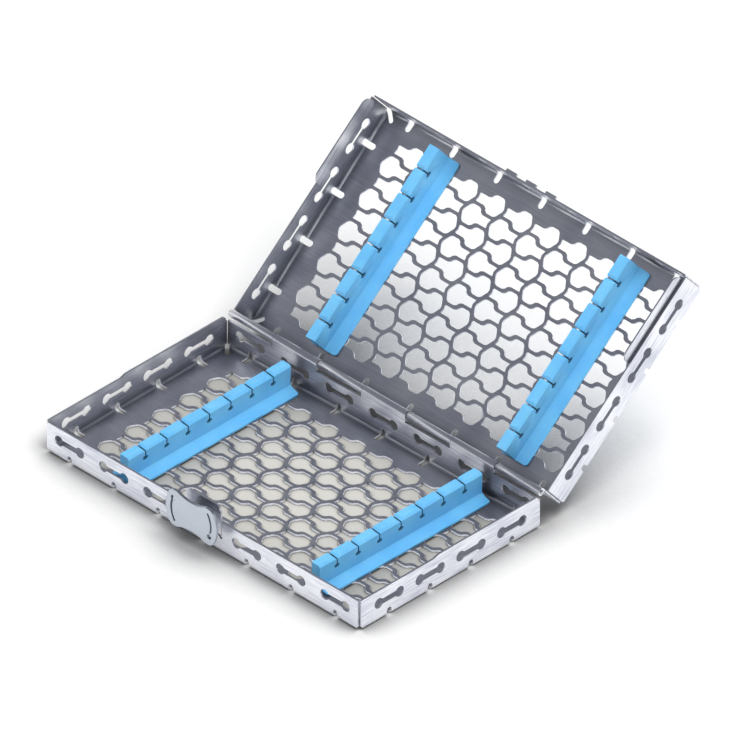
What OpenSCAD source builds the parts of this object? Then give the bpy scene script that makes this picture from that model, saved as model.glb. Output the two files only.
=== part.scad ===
// Instrument cassette: a perforated sheet-steel base and lid on a rolled hinge,
// four silicone rails that hold the instruments, and a quarter-turn clasp.
// Origin: middle of the base, on its underside. X runs left to right, Y front to rear, Z up.

/* [Base tray] */
// Width of the base, left to right
base_w = 200; // [194:1:216]
// Depth of the base, front to rear
base_d = 116; // [114:1:126]
// Height of the base walls
base_h = 16.5; // [16.5:0.5:20]
// Sheet thickness of the base
base_sheet = 1.0; // [0.8:0.1:1.2]
// How far the rear part of each side wall stands above the rim
shoulder_rise = 1.1; // [0.6:0.1:1.6]
// Where that rear part starts, from the front of the base
shoulder_start = 47.5; // [40:0.5:60]
// Length of the slope up to it
shoulder_slope = 3; // [2:0.5:6]
// Corner cut at the rear top of each side wall
rear_corner_cut = 2; // [1:0.5:4]

/* [Lid tray] */
// Height of the lid walls
lid_h = 16.5; // [15:0.5:20]
// Sheet thickness of the lid
lid_sheet = 0.8; // [0.6:0.1:1]
// How far the lid's front wall stands in front of the base's
lid_overhang = 0.8; // [0.8:0.1:1.4]
// Height of the lid's rim above the base's rim when closed
rim_gap = 3.6; // [3.4:0.1:4.5]
// Opening of the lid as it stands at rest
lid_opening = 140; // [110:1:150]
// How far the guide lips at the front of the side walls reach past the lid's rim
lip_reach = 5.6; // [4.5:0.1:7]
// How far back the lips run from the front of the base
lip_end = 47; // [30:0.5:60]
// Where the lips start, behind the front of the base
lip_start = 1.8; // [1.6:0.1:4]
// Radius of the lips' free corners
lip_corner_r = 4.5; // [2:0.5:5]
// Gap between a lip and the base side wall
lip_gap = 0.3; // [0.2:0.1:0.6]
// Width of each catch lug on the lid's front rim
lug_w = 6.4; // [5:0.2:7]
// How far a lug stands out
lug_reach = 1.3; // [1:0.1:1.5]
// Height of a lug
lug_h = 1.2; // [1:0.1:1.5]
// Distance between neighbouring lugs
lug_pitch = 12.5; // [11.5:0.5:15]

/* [Sheet work] */
// Outer radius of the bends
bend_r = 2.2; // [1.8:0.1:2.6]
// How far each wall ends short of the corner
corner_gap = 1.15; // [1.1:0.05:1.5]
// Width of the slanting relief slot at each corner
relief_w = 2.2; // [1.8:0.1:3]
// How far the relief slot reaches in from the corner
relief_reach = 6.3; // [5:0.1:7]

/* [Wall slots] */
// Distance between slots along the front and rear walls
slot_pitch_x = 28.16; // [26:0.1:28.5]
// Slots in the front and rear walls
slots_x = 7; // [3:2:7]
// Distance between slots along the side walls
slot_pitch_y = 26; // [24:0.5:27]
// Slots in the side walls
slots_y = 4; // [2:2:4]
// Diameter of a slot's round ends
lobe_d = 5.4; // [4:0.1:5.6]
// Distance between the two round ends
lobe_span = 13.2; // [10:0.1:15]
// Height of the bar that joins them on the base
base_bar = 2.9; // [1.5:0.1:3.4]
// Height of that bar on the lid
lid_bar = 2.3; // [1:0.1:3]
// Depth of a slot's centre below the rim
slot_drop = 6.8; // [6:0.1:8]
// Width of the drain vents under the slots
vent_w = 3; // [2:0.1:3.4]
// How far a vent rises up the wall
vent_rise = 4.4; // [3.6:0.1:5.6]
// How far a vent reaches into the floor
vent_reach = 6; // [4:0.1:7]

/* [Perforation] */
// Distance between bulb openings in a row
bulb_pitch = 17.32; // [17:0.02:18]
// Half the height of a bulb's six-sided head
bulb_half = 4.87; // [4.5:0.01:4.95]
// Radius that takes the points off the head's corners
bulb_r = 5.2; // [5:0.05:5.5]
// Width of the metal between a head and the neck next to it
web = 1.6; // [1.3:0.1:1.9]
// Length of a bulb's neck from the middle of its head
neck_reach = 10.9; // [10:0.1:11]
// Depth of the point in the neck's end that faces the next head
neck_notch = 0.6; // [0.2:0.1:0.8]
// How far before the head the neck starts to widen
neck_flare = 1.1; // [0.6:0.1:1.6]
// Least solid border left and right of the openings
border_x = 13; // [12:0.5:16]
// Least solid border front and rear of the openings
border_y = 10; // [9:0.5:12]
// Sideways place of the base openings
base_shift_x = 1.5; // [0:0.1:3]
// Front to rear place of the base openings
base_shift_y = -1.7; // [-2.2:0.1:0]
// Sideways place of the lid openings
lid_shift_x = 0.6; // [0:0.1:3]
// Front to rear place of the lid openings
lid_shift_y = -0.6; // [-2:0.1:1]

/* [Hinge] */
// Diameter of the hinge pin
pin_d = 2; // [1.6:0.1:2.2]
// Play between the pin and the knuckles, all round
pin_play = 0.08; // [0.05:0.01:0.1]
// Knuckles in all, base and lid together
knuckles = 7; // [5:2:9]
// Gap between neighbouring knuckles
knuckle_gap = 0.3; // [0.2:0.05:0.6]
// Gap between a knuckle and the wall that is cut back for it
knuckle_clear = 1; // [0.6:0.1:1.2]
// How far the pin stands out past the end knuckles
pin_end = 0.7; // [0.3:0.1:1]

/* [Rails] */
// Length of a rail
rail_len = 103.4; // [90:0.2:104]
// Height of a rail above the plate
rail_h = 14; // [12:0.5:14.5]
// Width of a rail at its top
rail_top_w = 5.4; // [4.5:0.1:7]
// Width of a rail just above its foot
rail_stem_w = 4.6; // [4:0.1:6]
// Width of the foot
foot_w = 16.2; // [15:0.2:18]
// Thickness of the foot at its edge
foot_t = 1.1; // [0.8:0.1:1.6]
// Radius of the hollow between the foot and the stem
foot_hollow_r = 9.1; // [6:0.1:12]
// Radius of the foot's corners
foot_corner_r = 1.6; // [1:0.1:4]
// Slope cut on the rail's top edge
rail_edge_cut = 1; // [0.4:0.1:1.6]
// Instrument slots in a rail
rail_slots = 7; // [3:1:7]
// Distance between the instrument slots
rail_slot_pitch = 13.55; // [12:0.05:14]
// Depth of a slot's mouth at the rail's left side
mouth_low = 0.8; // [0.4:0.1:2]
// Depth of the mouth at the right side
mouth_deep = 1.5; // [0.8:0.1:2.5]
// Width of the mouth for each unit of its depth
mouth_spread = 3; // [1.6:0.1:3.4]
// Width of the slit below the mouth
slit_w = 0.7; // [0.4:0.1:1]
// Depth of the keyhole's centre below the top
keyhole_drop = 5; // [4:0.1:7]
// Width of the keyhole
keyhole_w = 3.3; // [2:0.1:4]
// Height of the keyhole
keyhole_h = 2.1; // [1.4:0.1:2.4]
// Front to rear place of the left base rail and its slots
base_left_y = 0.8; // [-1:0.1:2]
// Front to rear place of the right base rail and its slots
base_right_y = 2.3; // [-1:0.1:2.4]
// Front to rear place of the lid rails
lid_rail_y = -0.6; // [-1:0.1:1]
// Front to rear place of the slots in the lid rails
lid_slot_y = 0.3; // [-1:0.1:1]
// Sideways place of the left base rail from the bulb heads that it plugs into
base_left_offset = -1.9; // [-3:0.1:0]
// Sideways place of the right base rail from its bulb heads
base_right_offset = -2.8; // [-3:0.1:0]
// Sideways place of the lid rails from their bulb heads
lid_rail_offset = -1.6; // [-3:0.1:0]
// Play between a rail's plugs and the openings that they fill
plug_play = 0.15; // [0.05:0.05:0.3]

/* [Clasp] */
// Radius of the turn plate's ears
ear_r = 16.1; // [15:0.1:16.1]
// Half height of the turn plate at its ears
ear_half = 9.7; // [9:0.1:10.5]
// Radius of the ears' corners
ear_corner_r = 3.4; // [2:0.1:4]
// Depth of the hollow in the plate's upper and lower edges
edge_hollow = 2; // [1:0.1:2.4]
// Width of that hollow
edge_hollow_w = 18; // [14:0.5:20]
// Thickness of the turn plate
plate_t = 1.5; // [1:0.1:2]
// Distance of the plate's face from the base's front wall
plate_stand = 7.2; // [6.8:0.1:8]
// Height of the clasp's axis above the base's rim
clasp_rise = 0.4; // [0.2:0.1:0.6]
// Radius of the two turn marks cut through the plate
mark_r = 12.6; // [11:0.1:13]
// Width of the turn marks
mark_w = 1.1; // [0.6:0.1:1.3]
// Angle at which the marks' round heads stand
mark_head = 24; // [15:1:28]
// Angle at which the marks' plain ends stand
mark_tail = 32.5; // [20:0.5:33]
// Diameter of the marks' round heads
mark_head_d = 2.5; // [1.8:0.1:2.8]
// Thickness of the cam behind the plate
cam_t = 1.5; // [1:0.1:1.8]
// Radius of the cam
cam_r = 7.3; // [7.2:0.1:7.4]
// Inner radius of the cam's hook
hook_r = 5.8; // [5.7:0.05:6]
// Thickness of the hook
hook_t = 1.2; // [0.8:0.1:1.3]
// Length of the hook in degrees
hook_arc = 70; // [50:1:80]
// Gap between the hook's end and the lid's front wall
hook_gap = 0.35; // [0.3:0.05:0.6]
// Turn of the clasp from open to locked
clasp_turn = 90; // [60:1:90]
// Width of the spring tongue that carries the clasp
tongue_w = 22.7; // [20:0.1:23]
// Width of the slits beside the tongue
tongue_slit = 0.9; // [0.6:0.1:1.2]
// Depth of the slits below the rim
tongue_depth = 8.3; // [7.5:0.1:9]
// Diameter of the hole that ends each slit
slit_hole_d = 1.8; // [1.2:0.1:2.4]
// Height of the tongue above the rim
tongue_rise = 8; // [7:0.1:8]
// Radius of the tongue's upper corners
tongue_corner_r = 4; // [2:0.5:6]
// How far the tongue is set back from the wall
tongue_set = 0.5; // [0.4:0.1:0.8]
// Diameter of the pivot
pivot_d = 3; // [2.4:0.1:3.2]
// Play of the pivot in the tongue and in the spacer, all round
pivot_play = 0.08; // [0.05:0.01:0.1]
// Outer diameter of the spacer between cam and tongue
spacer_d = 5.4; // [4.6:0.1:5.6]
// Diameter of the pivot's riveted head and of the washers
head_d = 6; // [5.5:0.1:8]
// Thickness of the riveted head
head_t = 1; // [0.8:0.1:1.4]
// Thickness of the flat washer
washer_t = 0.6; // [0.4:0.1:1]
// Thickness of the spring washer's sheet
spring_t = 0.4; // [0.3:0.05:0.6]
// Height of the spring washer's cone
spring_rise = 0.4; // [0.2:0.05:0.6]
// Gap between the clasp's moving and fixed faces
face_gap = 0.1; // [0.05:0.05:0.2]
// Diameter of the stop pin
stop_d = 1.8; // [1.4:0.1:1.9]
// Distance of the stop pin from the clasp's axis
stop_r = 5.9; // [5.8:0.1:6]
// Play between the stop pin and the cam's notch at each end of the turn
stop_play = 0.15; // [0.05:0.05:0.3]

/* [Hidden] */
$fn = 48;
STEEL = [0.74, 0.75, 0.77];
PIN_STEEL = [0.62, 0.63, 0.66];
SILICONE = [0.36, 0.69, 0.94];
// Overshoot of a cut past the face it starts from
cut = 1;
// Centre to centre distance of the bulb rows
row_pitch = bulb_pitch / 2;
// Half the height of a bulb's neck
neck_half = row_pitch - bulb_half - web;
// Hinge: the rolled knuckle carries on the sheet of the wall
pin_bore_r = pin_d / 2 + pin_play;
base_knuckle_r = pin_bore_r + base_sheet;
lid_knuckle_r = pin_bore_r + lid_sheet;
hinge_y = base_d / 2 - base_sheet + base_knuckle_r;
hinge_z = base_h + rim_gap - base_knuckle_r;
// Lid, closed
lid_rear_y = hinge_y - lid_knuckle_r + lid_sheet;
lid_front_y = -base_d / 2 - lid_overhang;
lid_d = lid_rear_y - lid_front_y;
lid_mid_y = (lid_rear_y + lid_front_y) / 2;
lid_rim_z = base_h + rim_gap;
lid_top_z = lid_rim_z + lid_h;
// Clasp
clasp_z = base_h + clasp_rise;
plate_y = -base_d / 2 - plate_stand;
cam_y = plate_y + plate_t;
cam_back_y = cam_y + cam_t;
tongue_y = -base_d / 2 + tongue_set;
tongue_back_y = tongue_y + base_sheet;
// The stop pin's half width and play, as an angle about the clasp's axis
stop_angle = asin((stop_d / 2 + stop_play) / stop_r);
// The hook stands to the left when open and over the lid's lug when locked
hook_mid = 90 + clasp_turn;

// Number of openings that fit between the borders
function count(size, border, pitch) = floor((size - 2 * border) / pitch);
// Place of copy i of n about the middle
function spread(i, n, pitch) = (i - (n - 1) / 2) * pitch;

// Flat outlines

// One bulb-shaped opening: six-sided head with blunt corners, and a neck to the left that
// widens towards the head and has a notched end to keep off the next one
module bulb() {
    intersection() {
        circle(r = bulb_r);
        polygon([for (a = [0:60:300]) bulb_half / cos(30) * [cos(a), sin(a)]]);
    }
    flare_x = neck_half * tan(30) - bulb_half / cos(30) - neck_flare;
    inner_x = -0.6 * bulb_half;
    inner_y = neck_half + (inner_x - flare_x) * tan(26);
    polygon([[-neck_reach, neck_half], [flare_x, neck_half], [inner_x, inner_y],
        [inner_x, -inner_y], [flare_x, -neck_half], [-neck_reach, -neck_half],
        [neck_notch - neck_reach, 0]]);
}

// All the openings of a tray; rows turn left and right in turn
module bulb_field(w, d) {
    cols = count(w, border_x, bulb_pitch);
    rows = count(d, border_y, row_pitch);
    for (j = [0:rows - 1], i = [0:cols - 1])
        translate([spread(i, cols, bulb_pitch), spread(j, rows, row_pitch)])
            if (j % 2 == 0) translate([bulb_pitch / 4, 0]) bulb();
            else mirror([1, 0]) translate([bulb_pitch / 4, 0]) bulb();
}

// A slot with a round lobe at each end
module dumbbell(bar) {
    for (side = [-1, 1]) translate([side * lobe_span / 2, 0]) circle(d = lobe_d);
    translate([-lobe_span / 2, -bar / 2]) square([lobe_span, bar]);
}

// A strip with one round end, from y = -cut up to y = reach
module round_strip(w, reach) {
    translate([-w / 2, -cut]) square([w, reach - w / 2 + cut]);
    translate([0, reach - w / 2]) circle(d = w);
}

// Section of a wall and its bend; x runs inward from the outer face
module wall_section(h, sheet) {
    translate([0, bend_r]) square([sheet, h - bend_r]);
    intersection() {
        translate([bend_r, bend_r]) difference() {
            circle(r = bend_r);
            circle(r = bend_r - sheet);
        }
        square(bend_r);
    }
}

// Outline of a base side wall, from the front (x = 0) to the rear
module base_side_outline() {
    rear = base_d - corner_gap;
    top = base_h + shoulder_rise;
    polygon([[corner_gap, 0], [corner_gap, base_h], [shoulder_start, base_h],
        [shoulder_start + shoulder_slope, top], [rear - rear_corner_cut, top],
        [rear, top - rear_corner_cut], [rear, 0]]);
}

// Sheet work

// Puts children drawn as an elevation (x along the wall, y up) on the front of a tray
// and gives them a depth inward
module on_front(d, depth) {
    translate([0, -d / 2 + depth, 0]) rotate([90, 0, 0]) linear_extrude(depth + cut) children();
}

// The same on the left side wall, x running from front to rear
module on_left(w, depth) {
    translate([-w / 2 - cut, 0, 0]) rotate([90, 0, 90]) linear_extrude(depth + cut) children();
}

// One wall with its bend along the front of a tray
module front_wall(w, d, h, sheet) {
    translate([-w / 2 + corner_gap, -d / 2, 0]) rotate([90, 0, 90])
        linear_extrude(w - 2 * corner_gap) wall_section(h, sheet);
}

// One wall with its bend along the left of a tray
module left_wall(w, d, h, sheet) {
    translate([-w / 2, d / 2 - corner_gap, 0]) rotate([90, 0, 0])
        linear_extrude(d - 2 * corner_gap) wall_section(h, sheet);
}

// Floor between the bends, with the openings
module floor_plate(w, d, sheet, shift) {
    linear_extrude(sheet) difference() {
        square([w - 2 * bend_r, d - 2 * bend_r], center = true);
        translate(shift) bulb_field(w, d);
    }
}

// Slots in the front wall of a tray, and the vents under them
module front_slots(w, d, h, bar) {
    for (i = [0:slots_x - 1]) {
        x = spread(i, slots_x, slot_pitch_x);
        on_front(d, bend_r) translate([x, h - slot_drop]) dumbbell(bar);
        on_front(d, bend_r) translate([x, 0]) round_strip(vent_w, vent_rise);
        translate([x, -d / 2, -cut]) linear_extrude(bend_r + cut) round_strip(vent_w, vent_reach);
    }
}

// Slots in the left wall of a tray, and the vents under them
module left_slots(w, d, h, bar) {
    for (i = [0:slots_y - 1]) {
        y = spread(i, slots_y, slot_pitch_y);
        on_left(w, bend_r) translate([y, h - slot_drop]) dumbbell(bar);
        on_left(w, bend_r) translate([y, 0]) round_strip(vent_w, vent_rise);
        translate([-w / 2, y, -cut]) rotate([0, 0, -90])
            linear_extrude(bend_r + cut) round_strip(vent_w, vent_reach);
    }
}

// Slanting relief slots at the four corners
module corner_reliefs(w, d) {
    in = relief_reach - relief_w / 2;
    for (sx = [-1, 1], sy = [-1, 1])
        translate([sx * (w / 2 - in), sy * (d / 2 - in), -cut])
            linear_extrude(bend_r + cut) {
                circle(d = relief_w);
                rotate(sy > 0 ? (sx > 0 ? 45 : 135) : (sx > 0 ? -45 : -135))
                    translate([0, -relief_w / 2]) square([2 * in, relief_w]);
            }
}

// All the slots, vents and reliefs of a tray
module tray_cuts(w, d, h, bar) {
    front_slots(w, d, h, bar);
    mirror([0, 1, 0]) front_slots(w, d, h, bar);
    left_slots(w, d, h, bar);
    mirror([1, 0, 0]) left_slots(w, d, h, bar);
    corner_reliefs(w, d);
}

// Where knuckle i starts along X
function knuckle_x(i) = -base_w / 2 + corner_gap + i * knuckle_w;
knuckle_w = (base_w - 2 * corner_gap) / knuckles;

// A knuckle about the X axis: the rolled tube and the bit of wall that leads up to it.
// The wall leads down from the axis; its outer face lies sheet inside the tube's far side.
module knuckle(i, r, sheet) {
    translate([knuckle_x(i) + knuckle_gap / 2, 0, 0]) rotate([90, 0, 90])
        linear_extrude(knuckle_w - knuckle_gap) difference() {
            union() {
                circle(r = r);
                translate([-r, -r - knuckle_clear - cut]) square([sheet, r + knuckle_clear + cut]);
            }
            circle(r = r - sheet);
        }
}

// Room for the other part's knuckle i in a wall under the axis
module knuckle_room(i, r, sheet) {
    gap = i == 0 || i == knuckles - 1 ? cut : 0;
    translate([knuckle_x(i) - knuckle_gap / 2 - gap, -r - cut, -r - knuckle_clear])
        cube([knuckle_w + knuckle_gap + 2 * gap, 2 * r + sheet, 2 * r + 2 * knuckle_clear]);
}

// The base, its spring tongue and its knuckles
module base_tray() {
    color(STEEL) {
        difference() {
            union() {
                floor_plate(base_w, base_d, base_sheet, [base_shift_x, base_shift_y]);
                front_wall(base_w, base_d, base_h, base_sheet);
                mirror([0, 1, 0]) front_wall(base_w, base_d, base_h, base_sheet);
                for (side = [0, 1]) mirror([side, 0, 0]) intersection() {
                    left_wall(base_w, base_d, base_h + shoulder_rise, base_sheet);
                    on_left(base_w, bend_r) translate([-base_d / 2, 0]) base_side_outline();
                }
            }
            tray_cuts(base_w, base_d, base_h, base_bar);
            tongue_window();
            translate([0, hinge_y, hinge_z]) for (i = [0:2:knuckles - 1])
                knuckle_room(i, base_knuckle_r, base_sheet);
        }
        tongue();
        translate([0, hinge_y, hinge_z]) for (i = [1:2:knuckles - 2])
            knuckle(i, base_knuckle_r, base_sheet);
    }
}

// Opening in the front wall in which the tongue stands, and the holes that end its slits
module tongue_window() {
    half = tongue_w / 2 + tongue_slit;
    on_front(base_d, base_sheet + tongue_set) {
        translate([-half, base_h - tongue_depth]) square([2 * half, tongue_depth + cut]);
        for (side = [-1, 1])
            translate([side * (half - tongue_slit / 2), base_h - tongue_depth])
                circle(d = slit_hole_d);
    }
}

// The tongue, set back by a joggle at its root
module tongue() {
    root = base_h - tongue_depth;
    top = base_h + tongue_rise;
    corner = tongue_w / 2 - tongue_corner_r;
    difference() {
        union() {
            translate([0, tongue_back_y, 0]) rotate([90, 0, 0]) linear_extrude(base_sheet) {
                translate([-tongue_w / 2, root]) square([tongue_w, top - tongue_corner_r - root]);
                translate([-corner, root]) square([2 * corner, top - root]);
                for (side = [-1, 1])
                    translate([side * corner, top - tongue_corner_r]) circle(r = tongue_corner_r);
            }
            translate([-tongue_w / 2 + slit_hole_d / 2, -base_d / 2, root - base_sheet])
                cube([tongue_w - slit_hole_d, base_sheet + tongue_set, base_sheet + tongue_set]);
        }
        translate([0, tongue_y - cut, clasp_z]) rotate([-90, 0, 0])
            cylinder(d = pivot_d + 2 * pivot_play, h = base_sheet + 2 * cut);
        translate([0, tongue_y - cut, clasp_z - stop_r]) rotate([-90, 0, 0])
            cylinder(d = stop_d, h = base_sheet + 2 * cut);
    }
}

// Stands children modelled on the closed lid at the lid's opening
module opened() {
    translate([0, hinge_y, hinge_z]) rotate([-lid_opening, 0, 0])
        translate([0, -hinge_y, -hinge_z]) children();
}

// Turns a tray or rail modelled upright over into its place in the closed lid
module in_lid() {
    translate([0, lid_mid_y, lid_top_z]) mirror([0, 0, 1]) children();
}

// Guide lip at the left front of the lid, modelled in the closed lid's place
module lid_lip() {
    outer = -base_w / 2 + base_sheet + lip_gap;
    low = lid_rim_z - lip_reach;
    len = lip_end - lip_start;
    translate([outer, -base_d / 2 + lip_start, 0]) {
        rotate([90, 0, 90]) linear_extrude(lid_sheet) {
            translate([0, low + lip_corner_r])
                square([len, lip_reach - lip_corner_r + lid_sheet]);
            translate([lip_corner_r, low]) square([len - 2 * lip_corner_r, lip_corner_r]);
            for (y = [lip_corner_r, len - lip_corner_r])
                translate([y, low + lip_corner_r]) circle(r = lip_corner_r);
        }
        translate([-base_sheet - lip_gap, 0, lid_rim_z])
            cube([base_sheet + lip_gap + lid_sheet, len, lid_sheet]);
    }
}

// The three catch lugs on the lid's front rim
module catch_lugs() {
    for (i = [-1:1])
        translate([i * lug_pitch - lug_w / 2, lid_front_y - lug_reach, lid_rim_z])
            cube([lug_w, lug_reach + lid_sheet, lug_h]);
}

// The lid, its lips, lugs and knuckles
module lid_tray() {
    color(STEEL) opened() {
        difference() {
            in_lid() difference() {
                union() {
                    floor_plate(base_w, lid_d, lid_sheet,
                        [lid_shift_x, lid_shift_y - lid_mid_y]);
                    for (side = [0, 1]) {
                        mirror([0, side, 0]) front_wall(base_w, lid_d, lid_h, lid_sheet);
                        mirror([side, 0, 0]) left_wall(base_w, lid_d, lid_h, lid_sheet);
                    }
                }
                tray_cuts(base_w, lid_d, lid_h, lid_bar);
            }
            translate([0, hinge_y, hinge_z]) mirror([0, 0, 1]) for (i = [1:2:knuckles - 2])
                knuckle_room(i, lid_knuckle_r, lid_sheet);
        }
        translate([0, hinge_y, hinge_z]) mirror([0, 0, 1]) for (i = [0:2:knuckles - 1])
            knuckle(i, lid_knuckle_r, lid_sheet);
        lid_lip();
        mirror([1, 0, 0]) lid_lip();
        catch_lugs();
    }
}

// The pin that base and lid turn on
module hinge_pin() {
    len = base_w - 2 * corner_gap + 2 * pin_end;
    color(PIN_STEEL) translate([-len / 2, hinge_y, hinge_z]) rotate([0, 90, 0])
        cylinder(d = pin_d, h = len);
}

// Rails

// Section of a rail, foot at z = 0
module rail_section() {
    stem = rail_stem_w / 2;
    top = rail_top_w / 2;
    hollow_x = foot_w / 2 - foot_corner_r / 8;
    hollow_h = foot_hollow_r - sqrt(pow(foot_hollow_r, 2) - pow(hollow_x - stem, 2));
    polygon([[-stem, 0], [stem, 0], [stem, foot_t + hollow_h], [top, rail_h - rail_edge_cut],
        [top - rail_edge_cut, rail_h], [-top, rail_h], [-stem, foot_t + hollow_h]]);
    difference() {
        translate([-foot_w / 2, 0]) square([foot_w, foot_t + hollow_h]);
        for (side = [-1, 1]) {
            translate([side * hollow_x, foot_t + foot_hollow_r]) circle(r = foot_hollow_r);
            translate([side * (hollow_x + foot_hollow_r), foot_t + foot_hollow_r])
                square(2 * foot_hollow_r, center = true);
        }
    }
}

// Plan of a rail: a rectangle with rounded corners
module rail_plan() {
    square([foot_w - 2 * foot_corner_r, rail_len], center = true);
    square([foot_w, rail_len - 2 * foot_corner_r], center = true);
    for (sx = [-1, 1], sy = [-1, 1])
        translate([sx * (foot_w / 2 - foot_corner_r), sy * (rail_len / 2 - foot_corner_r)])
            circle(r = foot_corner_r);
}

// One instrument slot, cut across a rail: a mouth that deepens to the right, slit and keyhole
module rail_slot() {
    reach = rail_top_w / 2 + cut;
    tilt = atan2(mouth_deep - mouth_low, rail_top_w);
    depth = (mouth_low + mouth_deep) / 2 + cut;
    translate([0, 0, rail_h + cut]) rotate([0, tilt, 0]) rotate([90, 0, 90])
        linear_extrude(2 * reach, center = true)
            polygon([[-depth * mouth_spread / 2, 0], [0, -depth], [depth * mouth_spread / 2, 0]]);
    translate([-reach, -slit_w / 2, rail_h - keyhole_drop]) cube([2 * reach, slit_w, keyhole_drop]);
    translate([-reach, 0, rail_h - keyhole_drop]) rotate([90, 0, 90])
        linear_extrude(2 * reach) {
            square([keyhole_w - keyhole_h, keyhole_h], center = true);
            for (s = [-1, 1]) translate([s * (keyhole_w - keyhole_h) / 2, 0]) circle(d = keyhole_h);
        }
}

// A rail standing on a plate at z = 0, its middle at y = 0. Plugs below the foot fill the
// bulb heads of every second row; rows_y is where the middle of the rows lies.
module rail(offset, rows, rows_y, slots_y_mid, sheet) {
    difference() {
        intersection() {
            translate([0, rail_len / 2, 0]) rotate([90, 0, 0]) linear_extrude(rail_len)
                rail_section();
            linear_extrude(rail_h) rail_plan();
        }
        for (i = [0:rail_slots - 1])
            translate([0, slots_y_mid + spread(i, rail_slots, rail_slot_pitch), 0]) rail_slot();
    }
    intersection() {
        translate([0, 0, -sheet]) linear_extrude(sheet) rail_plan();
        for (j = [0:2:rows - 1])
            translate([-offset, rows_y + spread(j, rows, row_pitch), -sheet])
                cylinder(r = bulb_half - plug_play, h = sheet);
    }
}

// Place of the bulb heads that a left or right rail plugs into
function plug_x(side, shift) =
    let (cols = count(base_w, border_x, bulb_pitch))
    shift + bulb_pitch / 4 + side * (cols - 3) / 2 * bulb_pitch;

module base_rail(side, offset, y) {
    color(SILICONE)
        translate([plug_x(side, base_shift_x) + offset, y, base_sheet])
            rail(offset, count(base_d, border_y, row_pitch), base_shift_y - y, 0, base_sheet);
}

module lid_rail(side) {
    color(SILICONE) opened()
        translate([plug_x(side, lid_shift_x) + lid_rail_offset, lid_rail_y, lid_top_z - lid_sheet])
            mirror([0, 0, 1])
                rail(lid_rail_offset, count(lid_d, border_y, row_pitch),
                    lid_shift_y - lid_rail_y, lid_slot_y - lid_rail_y, lid_sheet);
}

module base_rail_left() { base_rail(-1, base_left_offset, base_left_y); }
module base_rail_right() { base_rail(1, base_right_offset, base_right_y); }
module lid_rail_left() { lid_rail(-1); }
module lid_rail_right() { lid_rail(1); }

// Clasp, all about an axis along Y

// Puts a shape drawn as seen from the front at a depth y, going back by t
module on_clasp(y, t) {
    translate([0, y + t, clasp_z]) rotate([90, 0, 0]) linear_extrude(t) children();
}

// A ring sector from angle a to angle b
module sector(r_in, r_out, a, b) {
    intersection() {
        difference() {
            circle(r = r_out);
            circle(r = r_in);
        }
        polygon([[0, 0], 2 * r_out * [cos(a), sin(a)], 3 * r_out * [cos((a + b) / 2), sin((a + b) / 2)],
            2 * r_out * [cos(b), sin(b)]]);
    }
}

// Points of an arc about c from angle a to b, leaving out skip of them at each end
function arc(c, r, a, b, skip = 0) =
    [for (i = [skip:arc_steps - skip]) let (t = a + (b - a) * i / arc_steps) c + r * [cos(t), sin(t)]];
arc_steps = 16;

// Half of the turn plate's outline: the right ear with its corners, then the upper hollow
function half_outline() =
    let (corner_y = ear_half - ear_corner_r,
        corner_x = sqrt(pow(ear_r - ear_corner_r, 2) - pow(corner_y, 2)),
        ear_angle = atan2(corner_y, corner_x),
        hollow_r = (pow(edge_hollow_w / 2, 2) + pow(edge_hollow, 2)) / (2 * edge_hollow),
        hollow_angle = asin(edge_hollow_w / 2 / hollow_r))
    concat(arc([corner_x, -corner_y], ear_corner_r, -90, -ear_angle),
        arc([0, 0], ear_r, -ear_angle, ear_angle, 1),
        arc([corner_x, corner_y], ear_corner_r, ear_angle, 90),
        arc([0, ear_half - edge_hollow + hollow_r], hollow_r, hollow_angle - 90, -hollow_angle - 90));

// Outline of the turn plate, the same after half a turn
module plate_outline() {
    half = half_outline();
    polygon(concat(half, [for (p = half) -p]));
}

// A turn mark: an arc with a round head and a round end, on the left side of the plate
module turn_mark() {
    head = 180 - mark_head;
    tail = 180 + mark_tail;
    polygon(concat(arc([0, 0], mark_r + mark_w / 2, head, tail, 1),
        arc(mark_r * [cos(tail), sin(tail)], mark_w / 2, tail, tail + 180),
        arc([0, 0], mark_r - mark_w / 2, tail, head, 1)));
    rotate(head) translate([mark_r, 0]) circle(d = mark_head_d);
}

module clasp_plate() {
    color(STEEL) on_clasp(plate_y, plate_t) difference() {
        plate_outline();
        turn_mark();
        rotate(180) turn_mark();
    }
}

module clasp_cam() {
    hook_depth = lid_front_y - hook_gap - cam_back_y;
    color(PIN_STEEL) {
        on_clasp(cam_y, cam_t) difference() {
            circle(r = cam_r);
            circle(d = pivot_d);
            sector(stop_r - stop_d / 2 - stop_play, 2 * cam_r,
                -90 - stop_angle, -90 + clasp_turn + stop_angle);
        }
        on_clasp(cam_back_y, hook_depth)
            sector(hook_r, hook_r + hook_t, hook_mid - hook_arc / 2, hook_mid + hook_arc / 2);
    }
}

// Depths of the parts stacked behind the tongue
spring_y = tongue_back_y;
washer_y = spring_y + spring_t + spring_rise;
head_y = washer_y + washer_t;

module clasp_pivot() {
    color(PIN_STEEL) translate([0, cam_y, clasp_z]) rotate([-90, 0, 0]) {
        cylinder(d = pivot_d, h = head_y - cam_y);
        translate([0, 0, head_y - cam_y]) cylinder(d = head_d, h = head_t);
    }
}

// A ring about the clasp's axis
module ring(y, t, d_out, d_in) {
    color(PIN_STEEL) on_clasp(y, t) difference() {
        circle(d = d_out);
        circle(d = d_in);
    }
}

module clasp_spacer() {
    ring(cam_back_y + face_gap, tongue_y - cam_back_y - face_gap,
        spacer_d, pivot_d + 2 * pivot_play);
}

module clasp_washer() {
    ring(washer_y, washer_t, head_d, pivot_d + 2 * pivot_play);
}

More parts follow.
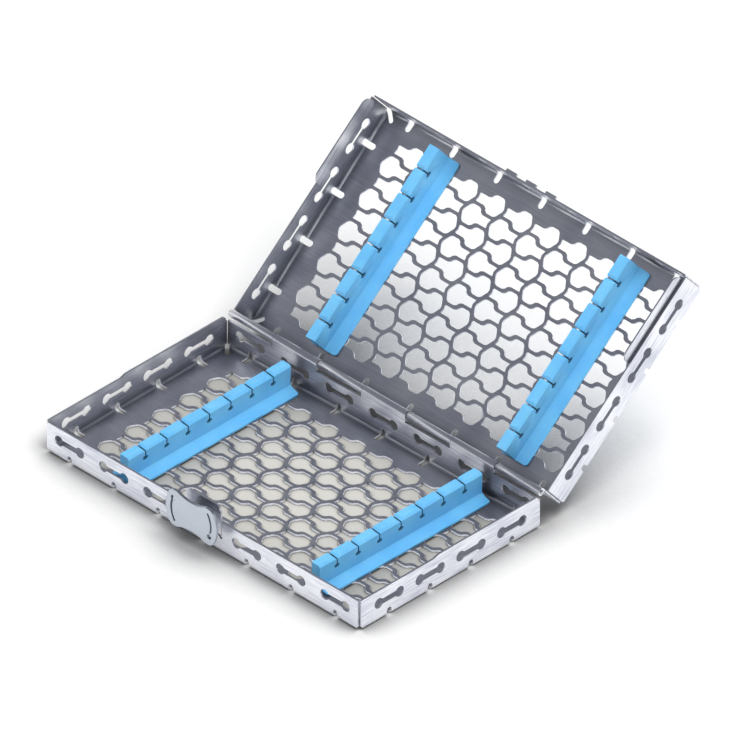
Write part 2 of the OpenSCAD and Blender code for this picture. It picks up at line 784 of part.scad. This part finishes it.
// Coned spring washer between the tongue and the flat washer
module clasp_spring_washer() {
    r_in = pivot_d / 2 + pivot_play;
    r_out = head_d / 2;
    color(PIN_STEEL) translate([0, spring_y, clasp_z]) rotate([-90, 0, 0]) rotate_extrude()
        polygon([[r_in, spring_rise], [r_out, 0], [r_out, spring_t],
            [r_in, spring_rise + spring_t]]);
}

module clasp_stop_pin() {
    color(PIN_STEEL) translate([0, cam_y + cam_t / 3, clasp_z - stop_r]) rotate([-90, 0, 0])
        cylinder(d = stop_d, h = tongue_back_y - cam_y - cam_t / 3);
}

base_tray();
lid_tray();
hinge_pin();
base_rail_left();
base_rail_right();
lid_rail_left();
lid_rail_right();
clasp_plate();
clasp_cam();
clasp_pivot();
clasp_spacer();
clasp_spring_washer();
clasp_washer();
clasp_stop_pin();
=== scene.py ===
"""Dresses the instrument cassette: sheet-steel trays, silicone rails, hinge and clasp.

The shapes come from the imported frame. This script gives every node its finish, breaks the
sharp edges, and sets up the pale floor, the soft light and the camera.
"""

import logging
import math
from dataclasses import dataclass
from enum import Enum

import bpy
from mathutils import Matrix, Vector


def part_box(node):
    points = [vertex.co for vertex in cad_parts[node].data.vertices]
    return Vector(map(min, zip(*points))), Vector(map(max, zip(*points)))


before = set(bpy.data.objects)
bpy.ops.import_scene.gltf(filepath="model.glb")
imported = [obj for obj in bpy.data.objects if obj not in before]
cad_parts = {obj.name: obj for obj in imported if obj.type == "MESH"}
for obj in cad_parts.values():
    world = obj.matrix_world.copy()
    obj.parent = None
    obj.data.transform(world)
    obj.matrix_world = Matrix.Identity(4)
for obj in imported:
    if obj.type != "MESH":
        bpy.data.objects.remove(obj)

log = logging.getLogger("cassette")

MM = 0.001

Link = tuple[bpy.types.Node, str | int]
Setting = float | int | str | bool | tuple | Link


def linear(colour: str) -> tuple[float, float, float, float]:
    """Turns a colour into the shader's own scale.

    Args:
        colour: sRGB hex digits, such as "c9ccd3".

    Returns:
        Linear red, green, blue and an alpha of 1.
    """
    parts = [int(colour[i : i + 2], 16) / 255 for i in (0, 2, 4)]
    r, g, b = [c / 12.92 if c <= 0.04045 else ((c + 0.055) / 1.055) ** 2.4 for c in parts]
    return (r, g, b, 1.0)


def add(
    tree: bpy.types.NodeTree, kind: str, props: dict | None = None, **inputs: Setting
) -> bpy.types.Node:
    """Adds one shader node with its settings and links.

    Args:
        tree: The node tree to add to.
        kind: Blender's type name of the node, without its "ShaderNode" prefix.
        props: Settings of the node itself, such as {"operation": "MULTIPLY"}.
        **inputs: Sockets by name, spaces as underscores, or by number as "i0", "i1".
            A value is set, and a (node, socket) pair is linked.

    Returns:
        The new node.
    """
    node = tree.nodes.new("ShaderNode" + kind)
    for name, value in (props or {}).items():
        setattr(node, name, value)
    for name, value in inputs.items():
        key = int(name[1:]) if name[0] == "i" and name[1:].isdigit() else name.replace("_", " ")
        socket = node.inputs[key]
        if isinstance(value, tuple) and isinstance(value[0], bpy.types.Node):
            source, output = value
            tree.links.new(source.outputs[output], socket)
        else:
            socket.default_value = value
    return node


def blank_material(name: str) -> tuple[bpy.types.Material, bpy.types.NodeTree]:
    """Makes an empty node material.

    Args:
        name: The material's name.

    Returns:
        The material and its node tree, with nothing in it.
    """
    material = bpy.data.materials.new(name)
    material.use_nodes = True
    material.node_tree.nodes.clear()
    return material, material.node_tree


def close_material(tree: bpy.types.NodeTree, shader: bpy.types.Node) -> None:
    """Links a shader to a new material output.

    Args:
        tree: The material's node tree.
        shader: The node whose first output is the surface.
    """
    add(tree, "OutputMaterial", Surface=(shader, shader.outputs[0].name))


def ramp(
    tree: bpy.types.NodeTree, value: Link, places: tuple[float, float], colours: tuple[str, str]
) -> bpy.types.Node:
    """Adds a colour ramp with two stops.

    Args:
        tree: The material's or world's node tree.
        value: What is looked up, 0 to 1.
        places: Where the two stops lie, 0 to 1.
        colours: Their sRGB hex colours.

    Returns:
        The ramp node, whose Color output is the colour.
    """
    node = add(tree, "ValToRGB", Fac=value)
    for stop, place, colour in zip(node.color_ramp.elements, places, colours):
        stop.position = place
        stop.color = linear(colour)
    return node


def either(tree: bpy.types.NodeTree, first: Link, second: Link) -> bpy.types.Node:
    """Adds a node whose Value is 1 where either of two yes-or-no values is.

    Args:
        tree: The material's or world's node tree.
        first: One value, 0 or 1.
        second: The other value, 0 or 1.

    Returns:
        The node.
    """
    return add(tree, "Math", {"operation": "MAXIMUM"}, i0=first, i1=second)


def paint_corner_shade(
    tree: bpy.types.NodeTree,
    colour: Link,
    reach_mm: float,
    shade: float,
    span: tuple[float, float] = (0.25, 0.85),
    own: bool = False,
) -> Link:
    """Paints shade into a colour in corners, slots and crevices, where shade falls.

    Args:
        tree: The material's node tree.
        colour: The colour in the open.
        reach_mm: How near another surface must be to count as a corner.
        shade: What is left of the colour deep in a corner, 0 to 1.
        span: The open share of the sky at which the shade is full, and at which it ends.
        own: True where only the piece's own walls count, and not its neighbours.

    Returns:
        The colour with its painted shade, as a socket.
    """
    open_sky = add(
        tree,
        "AmbientOcclusion",
        {"samples": 12, "only_local": own},
        Color=(1.0, 1.0, 1.0, 1.0),
        Distance=reach_mm * MM,
    )
    level = add(
        tree,
        "MapRange",
        Value=(open_sky, "AO"),
        From_Min=span[0],
        From_Max=span[1],
        To_Min=shade,
        To_Max=1.0,
    )
    mix = add(tree, "VectorMath", {"operation": "SCALE"}, i0=colour, Scale=(level, "Result"))
    return mix, "Vector"


class Bend(Enum):
    """Which way a tray stands at rest, as the turn in degrees that lays it level."""

    BASE = 0.0
    LID = 140.0


@dataclass(frozen=True)
class BrushedStainlessSheet:
    """Cold-rolled stainless steel sheet, brushed before it was punched and bent.

    The brushing runs along the long side on the plate and on each wall's own length,
    which draws every reflection out into soft streaks.
    """

    bend: Bend
    pivot: tuple[float, float, float]
    colour_light: str = "f5f6fb"
    colour_dark: str = "aeb4c6"
    roughness: float = 0.32
    # A real brush line is 0.05 mm wide and wouldn't show, so the lines are drawn coarser.
    line_mm: float = 0.4
    line_length_mm: float = 16.0
    line_detail: float = 4.0
    line_breaks: float = 0.65
    # A wall whose level normal leans at least this far to the side is a side wall.
    side_lean: float = 0.7
    # The plates are brushed more lightly than the walls: the share of the lines they lack.
    plate_calm: float = 0.65
    # Rolling and handling leave dull patches of a few centimetres.
    patch_mm: float = 26.0
    patch_share: float = 0.3
    bump: float = 0.12
    # Tone at which the sheet is darkest and lightest, and dullest and glossiest.
    tone_span: tuple[float, float] = (0.34, 0.56)
    gloss_span: tuple[float, float] = (0.3, 0.7)
    gloss_swing: float = 0.06
    # Painted shade: corners and slots are darkened in the colour, where shade falls.
    corner_mm: float = 8.0
    corner_shade: float = 0.25
    corner_span: tuple[float, float] = (0.3, 0.92)

    def level_coordinates(self, tree: bpy.types.NodeTree, output: str) -> bpy.types.Node:
        """Gives the sheet's own coordinates or normal, level as when the tray lies flat.

        Args:
            tree: The material's node tree.
            output: "Object" for places or "Normal" for directions.

        Returns:
            A node whose Vector output is level.
        """
        source = add(tree, "TexCoord")
        centre = self.pivot if output == "Object" else (0.0, 0.0, 0.0)
        return add(
            tree,
            "VectorRotate",
            {"rotation_type": "X_AXIS"},
            Vector=(source, output),
            Center=centre,
            Angle=math.radians(self.bend.value),
        )

    def brush_lines(self, tree: bpy.types.NodeTree, along_y: bool) -> bpy.types.Node:
        """Adds the brush lines of one direction.

        Args:
            tree: The material's node tree.
            along_y: True for lines along Y, False for lines along X.

        Returns:
            A noise node.
        """
        fine, coarse = 1 / (self.line_mm * MM), 1 / (self.line_length_mm * MM)
        scale = (fine, coarse, fine) if along_y else (coarse, fine, fine)
        place = self.level_coordinates(tree, "Object")
        mapping = add(tree, "Mapping", Vector=(place, "Vector"), Scale=scale)
        return add(
            tree,
            "TexNoise",
            Vector=(mapping, "Vector"),
            Scale=1.0,
            Detail=self.line_detail,
            Roughness=self.line_breaks,
        )

    def lines(self, tree: bpy.types.NodeTree) -> bpy.types.Node:
        """Adds brush lines along each wall, along X on the plate and fainter there.

        Args:
            tree: The material's node tree.

        Returns:
            A mix node whose Result output is the height of the lines, 0 to 1.
        """
        normal = self.level_coordinates(tree, "Normal")
        split = add(tree, "SeparateXYZ", Vector=(normal, "Vector"))
        sideways = add(tree, "Math", {"operation": "ABSOLUTE"}, i0=(split, "X"))
        is_side = add(
            tree,
            "Math",
            {"operation": "GREATER_THAN"},
            i0=(sideways, "Value"),
            i1=self.side_lean,
        )
        walls = add(
            tree,
            "Mix",
            {"data_type": "FLOAT"},
            Factor=(is_side, "Value"),
            A=(self.brush_lines(tree, along_y=False), 0),
            B=(self.brush_lines(tree, along_y=True), 0),
        )
        upright = add(tree, "Math", {"operation": "ABSOLUTE"}, i0=(split, "Z"))
        calm = add(tree, "MapRange", Value=(upright, "Value"), To_Max=self.plate_calm)
        return add(
            tree, "Mix", {"data_type": "FLOAT"}, Factor=(calm, "Result"), A=(walls, 0), B=0.5
        )

    def make(self, name: str) -> bpy.types.Material:
        """Builds the finish.

        Args:
            name: The material's name.

        Returns:
            The material.
        """
        material, tree = blank_material(name)
        lines = self.lines(tree)
        place = self.level_coordinates(tree, "Object")
        patches = add(
            tree, "TexNoise", Vector=(place, "Vector"), Scale=1 / (self.patch_mm * MM), Detail=2.0
        )
        tone = add(
            tree,
            "Mix",
            {"data_type": "FLOAT"},
            Factor=self.patch_share,
            A=(lines, 0),
            B=(patches, 0),
        )
        colour = ramp(tree, (tone, "Result"), self.tone_span, (self.colour_dark, self.colour_light))
        gloss = add(
            tree,
            "MapRange",
            Value=(tone, "Result"),
            From_Min=self.gloss_span[0],
            From_Max=self.gloss_span[1],
            To_Min=self.roughness + self.gloss_swing,
            To_Max=self.roughness - self.gloss_swing,
        )
        bump = add(
            tree,
            "Bump",
            Strength=self.bump,
            Distance=self.line_mm * MM / 4,
            Height=(lines, "Result"),
        )
        # Painted shade in the corners and slots, put into the base colour.
        painted_shade_colour = paint_corner_shade(
            tree, (colour, "Color"), self.corner_mm, self.corner_shade, self.corner_span, own=True
        )
        steel = add(
            tree,
            "BsdfPrincipled",
            Base_Color=painted_shade_colour,
            Metallic=1.0,
            Roughness=(gloss, "Result"),
            Normal=(bump, "Normal"),
        )
        close_material(tree, steel)
        return material


@dataclass(frozen=True)
class TurnedStainlessSteel:
    """Turned and pressed stainless steel: smoother than the sheet, with fine tool marks."""

    colour: str = "c3c5cb"
    roughness: float = 0.26
    # Tool marks of about 0.02 mm are drawn coarser, so that they show.
    mark_mm: float = 0.25
    gloss_swing: tuple[float, float] = (-0.05, 0.08)
    bump: float = 0.05
    bump_mm: float = 0.05

    def make(self, name: str) -> bpy.types.Material:
        """Builds the finish.

        Args:
            name: The material's name.

        Returns:
            The material.
        """
        material, tree = blank_material(name)
        place = add(tree, "TexCoord")
        marks = add(
            tree, "TexNoise", Vector=(place, "Object"), Scale=1 / (self.mark_mm * MM), Detail=2.0
        )
        gloss = add(
            tree,
            "MapRange",
            Value=(marks, 0),
            To_Min=self.roughness + self.gloss_swing[0],
            To_Max=self.roughness + self.gloss_swing[1],
        )
        bump = add(
            tree, "Bump", Strength=self.bump, Distance=self.bump_mm * MM, Height=(marks, 0)
        )
        steel = add(
            tree,
            "BsdfPrincipled",
            Base_Color=linear(self.colour),
            Metallic=1.0,
            Roughness=(gloss, "Result"),
            Normal=(bump, "Normal"),
        )
        close_material(tree, steel)
        return material


@dataclass(frozen=True)
class MouldedSilicone:
    """Compression-moulded silicone rubber in sky blue: satin, slightly translucent."""

    colour: str = "7bcdff"
    colour_deep: str = "6fc4fc"
    # Painted reflection: rays off the steel see the rubber in this grey instead of its own blue.
    painted_reflection_grey: str = "8c929c"
    roughness: float = 0.42
    ior: float = 1.41
    # The mould's spark-eroded skin has a grain of about a tenth of a millimetre, drawn coarser.
    grain_mm: float = 0.3
    bump: float = 0.06
    bump_mm: float = 0.05
    # The colour drifts a little over a centimetre or so.
    cloud_mm: float = 14.0
    cloud_span: tuple[float, float] = (0.35, 0.65)
    # Light goes about a millimetre into the rubber and softens its edges.
    scatter_share: float = 0.25
    scatter_mm: float = 1.2
    # Painted shade: the slits and keyholes are darkened in the colour, as they let little light
    # back out.
    corner_mm: float = 3.0
    corner_shade: float = 0.12

    def make(self, name: str) -> bpy.types.Material:
        """Builds the finish.

        Args:
            name: The material's name.

        Returns:
            The material.
        """
        material, tree = blank_material(name)
        place = add(tree, "TexCoord")
        cloud = add(
            tree, "TexNoise", Vector=(place, "Object"), Scale=1 / (self.cloud_mm * MM), Detail=1.0
        )
        colour = ramp(tree, (cloud, 0), self.cloud_span, (self.colour_deep, self.colour))
        grain = add(
            tree, "TexNoise", Vector=(place, "Object"), Scale=1 / (self.grain_mm * MM), Detail=2.0
        )
        bump = add(
            tree, "Bump", Strength=self.bump, Distance=self.bump_mm * MM, Height=(grain, 0)
        )
        # Painted reflection: glossy rays see the rubber grey.
        seen = add(
            tree,
            "Mix",
            {"data_type": "RGBA"},
            Factor=(add(tree, "LightPath"), "Is Glossy Ray"),
            i6=(colour, "Color"),
            i7=linear(self.painted_reflection_grey),
        )
        # Painted shade in the slits and keyholes.
        painted_shade_colour = paint_corner_shade(tree, (seen, 2), self.corner_mm, self.corner_shade)
        rubber = add(
            tree,
            "BsdfPrincipled",
            Base_Color=painted_shade_colour,
            Roughness=self.roughness,
            IOR=self.ior,
            Subsurface_Weight=self.scatter_share,
            Subsurface_Scale=self.scatter_mm * MM,
            Normal=(bump, "Normal"),
        )
        close_material(tree, rubber)
        return material


@dataclass(frozen=True)
class StudioPaper:
    """Matt white paper of the studio floor."""

    colour: str = "ffffff"
    # Painted shadow: under the tray the paper is coloured warmer and darker, as in the sheet's
    # shade.
    painted_shade_colour: str = "d8d6d0"
    tray_half_mm: tuple[float, float] = (99.0, 57.0)
    fade_mm: float = 3.0
    # Painted contact shade: the paper is darkened around whatever stands on it.
    contact_mm: float = 60.0
    contact_shade: float = 0.2
    contact_span: tuple[float, float] = (0.38, 0.91)
    # Painted reflection: how far the steel sees the paper white, without its painted shade, 0 to 1.
    painted_reflection_lift: float = 0.7

    def painted_shadow_mask(self, tree: bpy.types.NodeTree) -> bpy.types.Node:
        """Marks the paper under the base tray, where its shadow is painted.

        Args:
            tree: The material's node tree.

        Returns:
            A node whose Value is 1 under the tray and 0 beside it.
        """
        place = add(tree, "TexCoord")
        split = add(tree, "SeparateXYZ", Vector=(place, "Object"))
        sides = []
        for axis, half in zip("XY", self.tray_half_mm):
            out = add(tree, "Math", {"operation": "ABSOLUTE"}, i0=(split, axis))
            sides.append(
                add(
                    tree,
                    "MapRange",
                    {"interpolation_type": "SMOOTHSTEP"},
                    Value=(out, "Value"),
                    From_Min=(half - self.fade_mm) * MM,
                    From_Max=half * MM,
                    To_Min=1.0,
                    To_Max=0.0,
                )
            )
        return add(
            tree,
            "Math",
            {"operation": "MULTIPLY"},
            i0=(sides[0], "Result"),
            i1=(sides[1], "Result"),
        )

    def make(self, name: str) -> bpy.types.Material:
        """Builds the finish.

        Args:
            name: The material's name.

        Returns:
            The material.
        """
        material, tree = blank_material(name)
        # Painted shadow under the tray.
        colour = add(
            tree,
            "Mix",
            {"data_type": "RGBA"},
            Factor=(self.painted_shadow_mask(tree), "Value"),
            i6=linear(self.colour),
            i7=linear(self.painted_shade_colour),
        )
        # Painted contact shade around what stands on the paper.
        shade = paint_corner_shade(
            tree, (colour, 2), self.contact_mm, self.contact_shade, self.contact_span
        )
        # Painted reflection: the steel sees the paper lighter than the camera does.
        path = add(tree, "LightPath")
        glossy = add(
            tree, "Math", {"operation": "MULTIPLY"}, i0=(path, "Is Glossy Ray"), i1=self.painted_reflection_lift
        )
        seen = add(
            tree,
            "Mix",
            {"data_type": "RGBA"},
            Factor=(glossy, "Value"),
            i6=shade,
            i7=linear(self.colour),
        )
        close_material(tree, add(tree, "BsdfDiffuse", Color=(seen, 2)))
        return material


@dataclass(frozen=True)
class EdgeBreak:
    """Rounds a node's sharp edges with modifiers, as tumbling or a mould does."""

    radius_mm: float
    segments: int = 2
    sharp_deg: float = 35.0
    flat_deg: float = 0.6

    def apply(self, piece: bpy.types.Object) -> None:
        """Adds the modifiers that join the faces, merge flat ones and round the edges.

        Args:
            piece: The node to round. Its own mesh isn't changed.
        """
        weld = piece.modifiers.new("join_faces", "WELD")
        weld.merge_threshold = 0.001 * MM
        flat = piece.modifiers.new("merge_flats", "DECIMATE")
        flat.decimate_type = "DISSOLVE"
        flat.angle_limit = math.radians(self.flat_deg)
        rounding = piece.modifiers.new("round_edges", "BEVEL")
        rounding.width = self.radius_mm * MM
        rounding.segments = self.segments
        rounding.limit_method = "ANGLE"
        rounding.angle_limit = math.radians(self.sharp_deg)
        rounding.use_clamp_overlap = True
        rounding.harden_normals = True


def dress(node: str, finish: bpy.types.Material, edges: EdgeBreak | None) -> None:
    """Gives a node its finish and its broken edges.

    Args:
        node: The node's name.
        finish: The material for the whole node.
        edges: How its edges are broken, or None to leave them.
    """
    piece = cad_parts[node]
    piece.data.materials.clear()
    piece.data.materials.append(finish)
    if edges is not None:
        edges.apply(piece)
    log.info("dressed %s", node)


@dataclass
class Trays:
    """Base and lid: perforated sheet with bent walls."""

    edges: EdgeBreak = EdgeBreak(radius_mm=0.12, segments=1)

    def build(self) -> None:
        """Dresses both trays."""
        pivot = self.hinge_axis()
        for node, bend in (("base_tray", Bend.BASE), ("lid_tray", Bend.LID)):
            steel = BrushedStainlessSheet(bend=bend, pivot=pivot).make(f"brushed_stainless_{node}")
            dress(node, steel, self.edges)

    def hinge_axis(self) -> tuple[float, float, float]:
        """Gives a point on the hinge's axis.

        Returns:
            The middle of the pin, with X at 0.
        """
        low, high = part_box("hinge_pin")
        middle = (low + high) / 2
        return (0.0, middle.y, middle.z)


@dataclass
class Rails:
    """The four slotted silicone rails."""

    nodes: tuple[str, ...] = (
        "base_rail_left",
        "base_rail_right",
        "lid_rail_left",
        "lid_rail_right",
    )
    edges: EdgeBreak = EdgeBreak(radius_mm=0.15, segments=2)

    def build(self) -> None:
        """Dresses all the rails in one silicone."""
        silicone = MouldedSilicone().make("moulded_silicone_sky_blue")
        for node in self.nodes:
            dress(node, silicone, self.edges)


@dataclass
class HingeAndClasp:
    """The hinge pin, and the clasp with what stands behind its turn plate."""

    turned: tuple[str, ...] = (
        "hinge_pin",
        "clasp_cam",
        "clasp_pivot",
        "clasp_spacer",
        "clasp_spring_washer",
        "clasp_washer",
        "clasp_stop_pin",
    )
    edges: EdgeBreak = EdgeBreak(radius_mm=0.1, segments=2)
    plate_edges: EdgeBreak = EdgeBreak(radius_mm=0.25, segments=3)

    def build(self) -> None:
        """Dresses the turned pieces and the turn plate."""
        turned = TurnedStainlessSteel().make("turned_stainless_steel")
        for node in self.turned:
            dress(node, turned, self.edges)
        plate = BrushedStainlessSheet(
            bend=Bend.BASE,
            pivot=(0.0, 0.0, 0.0),
            colour_light="c4cbd4",
            colour_dark="bac1cb",
            roughness=0.44,
            patch_mm=40.0,
            bump=0.04,
        ).make("satin_stainless_turn_plate")
        dress("clasp_plate", plate, self.plate_edges)


@dataclass
class Studio:
    """A pale floor, a soft dome and one broad lamp. Lengths are in metres."""

    floor_size: float = 12.0
    horizon: str = "ffffff"
    zenith: str = "76787f"
    # Height on the unit dome where the bright band starts to dim, and where it is dim.
    dusk: tuple[float, float] = (0.1, 0.48)
    dome_strength: float = 1.0
    # What matt faces get from the dome; the lamp gives the rest.
    fill: float = 0.72
    lamp_power: float = 22.0
    lamp_size: float = 1.5
    lamp_place: tuple[float, float, float] = (0.8, 0.1, 2.0)

    def build(self) -> None:
        """Adds the floor, the dome and the lamp."""
        self.floor()
        self.dome()
        self.lamp()
        bpy.context.scene.view_settings.view_transform = "Standard"

    def floor(self) -> None:
        """Adds the floor, level with the underside of the base."""
        half = self.floor_size / 2
        mesh = bpy.data.meshes.new("studio_floor")
        corners = [(-half, -half, 0), (half, -half, 0), (half, half, 0), (-half, half, 0)]
        mesh.from_pydata(corners, [], [(0, 1, 2, 3)])
        mesh.materials.append(StudioPaper().make("studio_paper_white"))
        floor = bpy.data.objects.new("studio_floor", mesh)
        bpy.context.scene.collection.objects.link(floor)

    def dome(self) -> None:
        """Lights the world: even for matt faces, and for steel bright low and dim overhead."""
        world = bpy.data.worlds.new("studio_dome")
        bpy.context.scene.world = world
        world.use_nodes = True
        tree = world.node_tree
        tree.nodes.clear()
        place = add(tree, "TexCoord")
        split = add(tree, "SeparateXYZ", Vector=(place, "Generated"))
        shade = ramp(tree, (split, "Z"), self.dusk, (self.horizon, self.zenith))
        shade.color_ramp.interpolation = "EASE"
        banded = add(tree, "Background", Color=(shade, "Color"), Strength=self.dome_strength)
        path = add(tree, "LightPath")
        seen = either(tree, (path, "Is Camera Ray"), (path, "Is Transmission Ray"))
        strength = add(
            tree, "MapRange", Value=(seen, "Value"), To_Min=self.fill, To_Max=self.dome_strength
        )
        even = add(tree, "Background", Color=linear(self.horizon), Strength=(strength, "Result"))
        light = add(
            tree,
            "MixShader",
            Fac=(path, "Is Glossy Ray"),
            i1=(even, "Background"),
            i2=(banded, "Background"),
        )
        add(tree, "OutputWorld", Surface=(light, "Shader"))

    def lamp(self) -> None:
        """Adds the broad lamp over the right shoulder."""
        data = bpy.data.lights.new("soft_lamp", "AREA")
        data.shape = "DISK"
        data.size = self.lamp_size
        data.energy = self.lamp_power
        lamp = bpy.data.objects.new("soft_lamp", data)
        lamp.location = Vector(self.lamp_place)
        lamp.rotation_mode = "QUATERNION"
        lamp.rotation_quaternion = (-lamp.location).to_track_quat("-Z", "Y")
        # Steel sees only the dome, so that no hard highlight runs along its bends.
        lamp.visible_glossy = False
        bpy.context.scene.collection.objects.link(lamp)


@dataclass
class PhotoCamera:
    """The photograph's view: a true isometric one, with no perspective. Lengths are in metres."""

    # Fitted to the photograph's edges.
    view_width: float = 0.3293
    aim: tuple[float, float, float] = (-0.04455, 0.09075, 0.0)
    back: tuple[float, float, float] = (1.0, -1.0, 1.0)
    distance: float = 1.5
    clip: tuple[float, float] = (0.01, 30.0)

    def build(self) -> None:
        """Adds the camera and makes it the scene's own."""
        data = bpy.data.cameras.new("photo_camera")
        data.type = "ORTHO"
        data.ortho_scale = self.view_width
        data.clip_start, data.clip_end = self.clip
        camera = bpy.data.objects.new("photo_camera", data)
        back = Vector(self.back).normalized()
        camera.location = Vector(self.aim) + back * self.distance
        camera.rotation_mode = "QUATERNION"
        camera.rotation_quaternion = (-back).to_track_quat("-Z", "Y")
        bpy.context.scene.collection.objects.link(camera)
        bpy.context.scene.camera = camera


def main() -> None:
    """Builds the dressed cassette in its studio."""
    logging.basicConfig(level=logging.INFO, format="%(name)s: %(message)s")
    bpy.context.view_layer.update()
    for part in (PhotoCamera(), Studio(), Trays(), Rails(), HingeAndClasp()):
        part.build()
        log.info("built %s", type(part).__name__)


if __name__ == "__main__":
    main()
